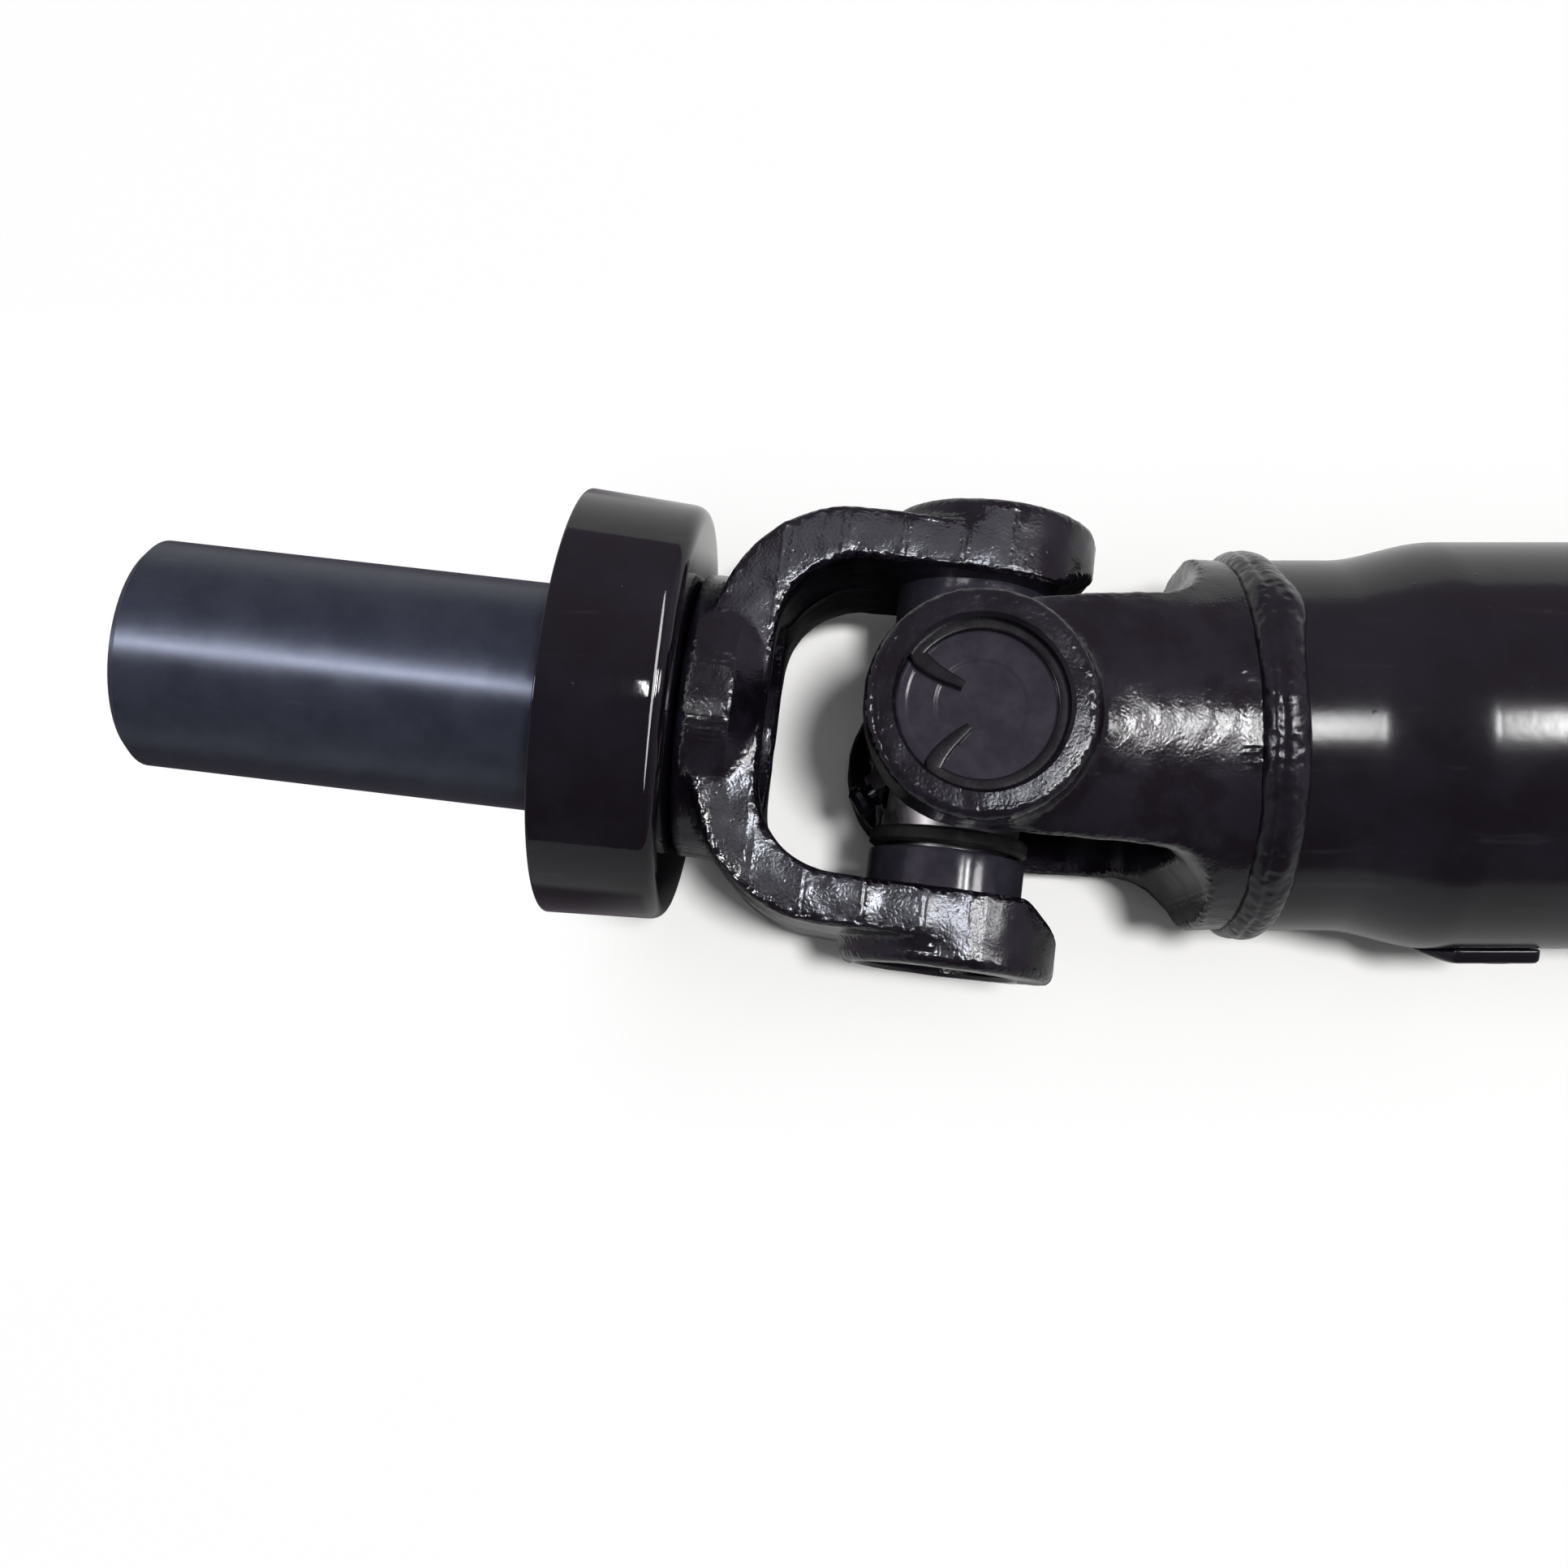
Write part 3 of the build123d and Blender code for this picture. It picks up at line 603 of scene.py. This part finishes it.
# ------------------------------------------------------------ welds
def weld(node, at, start_angle):
    """A hand-laid bead: chevron ripples, wavy toes and a fat lobe where its end runs over its start."""
    steps, across = 900, 18
    left, right = 47.3, 55.2           # the bead's two toes along the shaft
    foot, tallest = SWAGE_R - 0.05, 2.35
    points, faces = [], []
    for k in range(steps):
        a = 2 * math.pi * k / steps
        c, s = math.cos(a), math.sin(a)
        gone = (math.degrees(a) - start_angle) % 360
        lobe = math.exp(-((gone - 14) / 11) ** 2) if gone < 40 else 0.0
        tail = max(0.0, 1 - gone / 60)
        toe = 0.45 * noise.noise(Vector((c * 3, s * 3, 7)))
        heel = 0.45 * noise.noise(Vector((c * 4, s * 4, 19)))
        x0, x1 = left + heel, right + toe + 1.6 * lobe
        for j in range(across + 1):
            t = j / across
            x = x0 + (x1 - x0) * t
            crown = math.sin(math.pi * t) ** 0.62
            shelf = 0.25 * math.exp(-((t - 0.2) / 0.12) ** 2) - 0.32 * math.exp(-((t - 0.36) / 0.07) ** 2)
            beat = a * SWAGE_R / 2.1 + 1.1 * (2 * t - 1) ** 2 + 0.5 * noise.noise(Vector((c * 9, s * 9, 3)))
            ripple = 0.05 * (abs((beat % 1) - 0.5) * 2) ** 0.8
            lump = 0.22 * noise.noise(Vector((c * 7, s * 7, t * 2)))
            height = (1.85 * crown + shelf * crown - ripple * crown + lump * crown) * (1 + 0.12 * tail)
            height += 0.5 * lobe * crown
            r = foot + max(0.0, min(height, tallest))
            points.append((x, r * c, r * s))
        points.append((x1, (foot - 0.4) * c, (foot - 0.4) * s))
        points.append((x0, (foot - 0.4) * c, (foot - 0.4) * s))
    n = across + 3
    for k in range(steps):
        for i in range(n):
            j, m = (i + 1) % n, (k + 1) % steps
            faces.append((k * n + i, k * n + j, m * n + j, m * n + i))
    bead = tidy(from_faces(node + "_bead", points, faces))
    return finish_piece(bead, BEAD, at, "shaft", [node], 60)


FORGINGS.append(weld("front_weld", AT_FRONT_TUBE_YOKE, 40))
FORGINGS.append(weld("rear_weld", AT_REAR_TUBE_YOKE, 160))


# ------------------------------------------------------------ tube
def tube():
    """The drawn tube, its swaged ends eased in one long curve each."""
    front, rear = FRONT_X + HUB_END + 2.1, REAR_X - HUB_END - 2.1
    flare_start, flare_length = FRONT_X + 67, 19
    skin = []
    for step in range(121):
        x = FRONT_X + 60 + 34 * step / 120
        t = min(max((x - flare_start) / flare_length, 0), 1)
        skin.append((x, SWAGE_R + (TUBE_R - SWAGE_R) * t * t * (3 - 2 * t)))
    middle = (FRONT_X + REAR_X) / 2
    skin = [(front, SWAGE_R), *skin]
    skin += [(front + (rear - front) * k / 60, TUBE_R) for k in range(16, 45)]
    skin += [(2 * middle - x, r) for x, r in skin[121::-1]]
    stations = (0, 20, 60, 121, -122, -61, -21, -1)
    bore = [(skin[k][0], skin[k][1] - TUBE_WALL) for k in stations]
    made = lathe("shaft_tube_skin", [*skin, *bore[::-1]], "X", 256)
    return finish_piece(made, SHEET, Matrix.Identity(4), "shaft", ["shaft_tube"], 40)


tube()


# ------------------------------------------------------------ dust cover, cups, rings and weights
def dust_cover():
    """A drawn cup with a soft closed corner, a rolled-off rim and a collar on the sleeve."""
    seat = 21.82
    outline = rounded([
        (50.6, seat, 0.3), (50.6, 38.6, 3.2), (72.8, 39.8, 0.55), (72.8, 38.2, 0.4),
        (52.2, 37.0, 1.8), (52.2, seat + 1.6, 0.9), (60.0, seat + 1.6, 0.5), (60.0, seat, 0.3)], 0.5, 7)
    cover = lathe("dust_cover_sheet", outline, "X", 240)
    return finish_piece(cover, COVER, AT_SLIP_YOKE, "slip_yoke", ["dust_cover"], 50)


def cup(node, at, body):
    """A drawn bearing cup with a soft rim and a shallow dished face."""
    wall, mouth, dish = 12.4, 20.9, CUP_FACE - 0.16
    outline = rounded([
        (mouth, wall, 0.4), (mouth, CUP_R, 0.7), (CUP_FACE, CUP_R, 1.1), (CUP_FACE, 12.6, 0.3), (dish, 12.2, 0.3),
        (dish, 7.9, 0.5), (dish - 0.2, 7.3, 0.5), (CUP_FACE - 0.4, 0, 0), (36.0, 0, 0), (36.0, wall, 0.8)], 0.3, 5)
    made = lathe(node + "_shell", outline, "Z", 128)
    return finish_piece(made, CUP_PAINT_PAINTED_REFLECTION, at, body, [node], 50)


def snap_ring(node, at, body, facing):
    """A spring ring with a rounded edge, whose two ends curl in as tapered hooks."""
    low = CUP_FACE + 0.06
    middle = 13.7                      # the wire's centre line
    thickness, half_width = 1.5, 1.28
    root, tip = 1.55, 0.7              # a hook's half-width where it leaves the ring, and at its end
    line, widths = [], []

    def hook(sign):
        start = Vector((middle * math.cos(math.radians(45)), sign * middle * math.sin(math.radians(45))))
        corners = [Vector((2.6, sign * 3.4)), Vector((4.6, sign * 4.9)), Vector((7.6, sign * 6.2)), start]
        path = []
        for step in range(14):
            t = step / 14
            a, b, c, d = corners
            path.append(a * (1 - t) ** 3 + b * 3 * t * (1 - t) ** 2 + c * 3 * t * t * (1 - t) + d * t ** 3)
        return path

    first = hook(1)
    line += first
    widths += [tip + (root - tip) * (i / len(first)) for i in range(len(first))]
    for step in range(91):
        a = math.radians(45 + 270 * step / 90)
        line.append(Vector((middle * math.cos(a), middle * math.sin(a))))
        widths.append(half_width)
    last = hook(-1)[::-1]
    line += last
    widths += [root - (root - tip) * (i / len(last)) for i in range(len(last))]
    section = rounded([(-1, 0), (1, 0), (1, thickness), (-1, thickness)], 0.42, 4)
    points, faces = [], []
    n = len(section)
    for i, here in enumerate(line):
        ahead = (line[min(i + 1, len(line) - 1)] - line[max(i - 1, 0)]).normalized()
        side = Vector((-ahead.y, ahead.x))
        for across, up in section:
            offset = across * widths[i] if abs(across) < 1.001 else 0
            p = here + side * offset
            points.append((p.x, p.y, low + up))
    for k in range(len(line) - 1):
        for i in range(n):
            j = (i + 1) % n
            faces.append((k * n + i, k * n + j, (k + 1) * n + j, (k + 1) * n + i))
    faces += [tuple(range(n)), tuple(range(len(points) - 1, len(points) - 1 - n, -1))]
    ring = tidy(from_faces(node + "_clip", points, faces))
    ring.data.transform(turn("Z", facing))
    return finish_piece(ring, RING_PAINT_PAINTED_SHADE, at, body, [node], 50)


def balance_weight(node, at):
    """A curved plate with soft sheared edges and three resistance-weld dimples."""
    plate = cad_copy(node, node + "_plate", at)
    mod = plate.modifiers.new("remesh", "REMESH")
    mod.mode = "VOXEL"
    mod.voxel_size = 0.42
    apply(plate)
    mesh = plate.data
    relax(mesh, 3, np.full(len(mesh.vertices), 0.6))
    co, no = points_of(mesh), normals_of(mesh)
    outer = np.hypot(co[:, 1], co[:, 2]) > TUBE_R + 1.2
    around = np.arctan2(co[:, 2], -co[:, 1]) * TUBE_R
    for x, v in ((7.0, 0.0), (14.0, -9.0), (14.0, 9.0)):
        d = np.hypot(co[:, 0] - x, around - v)
        dent = 0.55 * np.exp(-(d / 1.9) ** 4) - 0.18 * np.exp(-((d - 2.7) / 0.6) ** 2)
        co -= no * (dent * outer)[:, None]
    mesh.vertices.foreach_set("co", co.ravel())
    mesh.update()
    return finish_piece(plate, SHEET, at, "shaft", [node], 60)


COVER_PIECE = dust_cover()
UP, DOWN = Matrix.Identity(4), turn("X", 180)
CUP_SETS = [
    ("front", "top", AT_FRONT_TUBE_YOKE @ UP, "shaft", 187),
    ("front", "bottom", AT_FRONT_TUBE_YOKE @ DOWN, "shaft", 70),
    ("front", "left", AT_SLIP_YOKE @ UP, "slip_yoke", 0),
    ("front", "right", AT_SLIP_YOKE @ DOWN, "slip_yoke", 150),
    ("rear", "top", AT_REAR_TUBE_YOKE @ UP, "shaft", 20),
    ("rear", "bottom", AT_REAR_TUBE_YOKE @ DOWN, "shaft", 195),
    ("rear", "left", AT_FLANGE_YOKE @ DOWN, "flange_yoke", 120),
    ("rear", "right", AT_FLANGE_YOKE @ UP, "flange_yoke", 260),
]
for joint, side, at, body, facing in CUP_SETS:
    cup(f"{joint}_cup_{side}", at, body)
    snap_ring(f"{joint}_snap_ring_{side}", at, body, facing)
balance_weight("front_balance_weight", shift(FRONT_X + 85.6) @ turn("X", 24))
balance_weight("rear_balance_weight", shift(REAR_X - 112.0) @ turn("X", 150))


# ------------------------------------------------------------ CAD nodes that keep their own shape
def paint_node(name, material):
    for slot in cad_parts[name].material_slots:
        slot.material = material


paint_node("slip_yoke_plug", SMALL)
for joint in ("front", "rear"):
    paint_node(f"{joint}_cross", STEEL)
    paint_node(f"{joint}_grease_nipple", SMALL)
    for side in ("top", "bottom", "left", "right"):
        paint_node(f"{joint}_needles_{side}", NEEDLE)
        paint_node(f"{joint}_seal_{side}", RUBBER)


# ------------------------------------------------------------ floor, light and camera
FLOOR_Z = -42.6 * MM


def floor():
    """A pale card that fades to plain white away from the shaft. Where gloss reflects it, it carries a painted shadow
    under the shaft and painted shade that darkens it towards -Y.

    It is clear where the sleeve and the flange dip below it when their joints tilt."""
    mesh = bpy.data.meshes.new("floor")
    size = 4.0
    mesh.from_pydata([(-size, -size, FLOOR_Z), (size, -size, FLOOR_Z), (size, size, FLOOR_Z), (-size, size, FLOOR_Z)],
                     [], [(0, 1, 2, 3)])
    obj = new_object("floor", mesh)
    s = Shader("floor_card", Specular_IOR_Level=0.1)
    cloud = s.noise(120, 4, 0.5)
    colour = s.mix(s.remap(cloud, 0.3, 0.7), (0.84, 0.835, 0.82, 1), (0.88, 0.875, 0.865, 1))
    card = s.use(Base_Color=colour, Roughness=s.remap(cloud, 0.3, 0.7, 0.75, 0.9))
    axes = s.node("ShaderNodeSeparateXYZ", Vector=s.place)
    aside = s.math("ABSOLUTE", axes.outputs["Y"])
    beyond = s.math("SUBTRACT", s.math("ABSOLUTE", s.math("ADD", axes.outputs["X"], 350.0)), 350.0)
    near = s.math("MAXIMUM", s.remap(aside, 34.0, 76.0, 0.0, 0.96), s.remap(beyond, 15.0, 70.0, 0.0, 0.96))
    far = s.math("MAXIMUM", near, s.remap(s.math("MAXIMUM", aside, beyond), 250.0, 900.0))
    white = s.node("ShaderNodeEmission", Strength=1.0).outputs[0]
    lit = s.node("ShaderNodeMixShader", {0: far, 1: s.bsdf.outputs[0], 2: white}).outputs[0]
    mirrored = s.node("ShaderNodeLightPath").outputs["Is Glossy Ray"]
    # painted shade for gloss rays: a painted shadow under the shaft, and darker towards -Y
    side = s.remap(axes.outputs["Y"], -40.0, 90.0, 0.54, 0.2)
    gloss_painted_shade = s.math("MULTIPLY", mirrored, s.math("MAXIMUM", side, s.remap(aside, 28.0, 60.0, 0.93, 0.0)))
    painted_shade_black = s.node("ShaderNodeEmission", Strength=0.0).outputs[0]
    seen = s.node("ShaderNodeMixShader", {0: gloss_painted_shade, 1: lit, 2: painted_shade_black}).outputs[0]
    clear = s.node("ShaderNodeBsdfTransparent").outputs[0]
    under_sleeve = s.math("MULTIPLY", s.remap(axes.outputs["X"], -634.0, -598.0, 1.0, 0.0),
                          s.remap(aside, 85.0, 110.0, 1.0, 0.0))
    under_flange = s.math("MULTIPLY", s.remap(s.math("ABSOLUTE", axes.outputs["X"]), 14.0, 26.0, 1.0, 0.0),
                          s.remap(aside, 50.0, 64.0, 1.0, 0.0))
    gap = s.math("MAXIMUM", under_sleeve, under_flange)
    whole = s.node("ShaderNodeMixShader", {0: gap, 1: seen, 2: clear}).outputs[0]
    s.tree.links.new(whole, s.tree.nodes["Material Output"].inputs["Surface"])
    mesh.materials.append(card)


def lamp(name, place, aim, size, power, seen_by, only=(), colour=(1, 1, 1)):
    """An area light that is either seen in gloss or lights matt surfaces. With only, it lights just those pieces."""
    data = bpy.data.lights.new(name, "AREA")
    data.shape = "ELLIPSE"
    data.color = colour
    data.size, data.size_y = size
    data.energy = power
    obj = new_object(name, data)
    obj.location = place
    obj.rotation_euler = (Vector(aim) - Vector(place)).to_track_quat("-Z", "Y").to_euler()
    obj.visible_glossy = seen_by == "gloss"
    obj.visible_diffuse = seen_by == "matt"
    if only:
        group = bpy.data.collections.new(f"{name}_lights")
        for piece in only:
            group.objects.link(piece)
        obj.light_linking.receiver_collection = group


def sky():
    """A dim room that gloss reflects, brighter towards +Y and at both ends, with a white backdrop and a weak fill."""
    world = bpy.data.worlds.new("studio")
    bpy.context.scene.world = world
    world.use_nodes = True
    tree = world.node_tree
    tree.nodes.clear()

    def make(kind, *links, **settings):
        made = tree.nodes.new(kind)
        for key, value in settings.items():
            setattr(made, key, value)
        for index, value in links:
            feed(made.inputs[index], value)
        return made

    where = make("ShaderNodeTexCoord").outputs["Generated"]
    lean = make("ShaderNodeVectorMath", (0, where), (1, (0.0, 0.8, 0.6)), operation="DOT_PRODUCT").outputs["Value"]
    level = make("ShaderNodeMapRange", (0, lean), (1, -1.0), (2, 1.0), (3, 0.0), (4, 1.0)).outputs[0]
    ramp = make("ShaderNodeValToRGB", (0, level))
    stops = ramp.color_ramp.elements
    stops[0].position, stops[0].color = 0.1, (0.13, 0.11, 0.13, 1)
    stops[1].position, stops[1].color = 1.0, (0.42, 0.36, 0.45, 1)
    middle = stops.new(0.72)
    middle.color = (0.22, 0.185, 0.24, 1)
    along = make("ShaderNodeVectorMath", (0, where), operation="ABSOLUTE").outputs["Vector"]
    ends = make("ShaderNodeSeparateXYZ", (0, along)).outputs["X"]
    strength = make("ShaderNodeMapRange", (0, ends), (1, 0.45), (2, 0.95), (3, 1.0), (4, 2.4)).outputs[0]
    room = make("ShaderNodeBackground", (0, ramp.outputs[0]), (1, strength))
    fill = make("ShaderNodeBackground", (0, (0.98, 0.99, 1.0, 1)), (1, 0.1))
    plain = make("ShaderNodeBackground", (0, (1, 1, 1, 1)), (1, 1.0))
    path = make("ShaderNodeLightPath")
    by_gloss, by_camera = path.outputs["Is Glossy Ray"], path.outputs["Is Camera Ray"]
    glossy = make("ShaderNodeMixShader", (0, by_gloss), (1, fill.outputs[0]), (2, room.outputs[0]))
    seen = make("ShaderNodeMixShader", (0, by_camera), (1, glossy.outputs[0]), (2, plain.outputs[0]))
    make("ShaderNodeOutputWorld", (0, seen.outputs[0]))


def camera():
    data = bpy.data.cameras.new("camera")
    data.sensor_width = 36.0
    data.lens = 39.4
    data.clip_start = 0.01
    obj = new_object("camera", data)
    obj.location = (-0.58347, -0.05503, 0.31467)
    obj.rotation_euler = (math.radians(8.64), math.radians(0.183), math.radians(0.058))
    bpy.context.scene.camera = obj


floor()
sky()
LAMP_HEIGHT = 1.2
COOL = (0.86, 0.89, 1.0)
for place, (x, width) in enumerate(((-0.12, 0.04), (0.105, 0.07))):
    lamp(f"ceiling_{place}", (x, 0.026, LAMP_HEIGHT), (x, 0.026, 0), (width, 0.32), 75 * width, "gloss")
for place, x in enumerate((-1.75, 0.65)):
    lamp(f"row_end_{place}", (x, 0.026, LAMP_HEIGHT), (-0.55, 0.026, 0), (0.3, 0.4), 5.0, "gloss")
lamp("arm_patch", (-0.325, 0.05, LAMP_HEIGHT), (-0.325, 0.05, 0), (0.1, 0.26), 5.0, "gloss", FORGINGS[:1], COOL)
lamp("arm_sheen", (-0.62, 0.06, LAMP_HEIGHT), (-0.62, 0.06, 0), (0.34, 0.2), 0.26, "gloss", FORGINGS[:1], COOL)
lamp("yoke_patch", (-0.3, 0.035, LAMP_HEIGHT), (-0.3, 0.035, 0), (0.1, 0.2), 1.15, "gloss", FORGINGS[1:], COOL)
lamp("back_sheen", (-0.36, 0.4, LAMP_HEIGHT), (-0.5, 0.0, 0), (0.6, 0.36), 0.9, "gloss", FORGINGS[:1], COOL)
lamp("glint", (-0.59, 0.0, LAMP_HEIGHT), (-0.59, 0.0, 0), (0.01, 0.16), 0.4, "gloss", [COVER_PIECE])
lamp("sleeve_strip", (-1.1, 0.0, LAMP_HEIGHT), (-1.1, 0.0, 0), (0.5, 0.14), 12.0, "gloss", FORGINGS[:1])
lamp("edge_strip", (-0.25, 0.0, LAMP_HEIGHT), (-0.25, 0.0, 0), (0.2, 3.4), 26.0, "gloss", [COVER_PIECE])
lamp("key", (-0.4, -0.1, LAMP_HEIGHT), (-0.4, 0, 0), (0.16, 0.16), 14.0, "matt")
lamp("softbox", (-0.35, 0.0, 2.0), (-0.35, 0, 0), (1.6, 1.6), 7.0, "matt")
camera()
bpy.context.scene.view_settings.view_transform = "Standard"
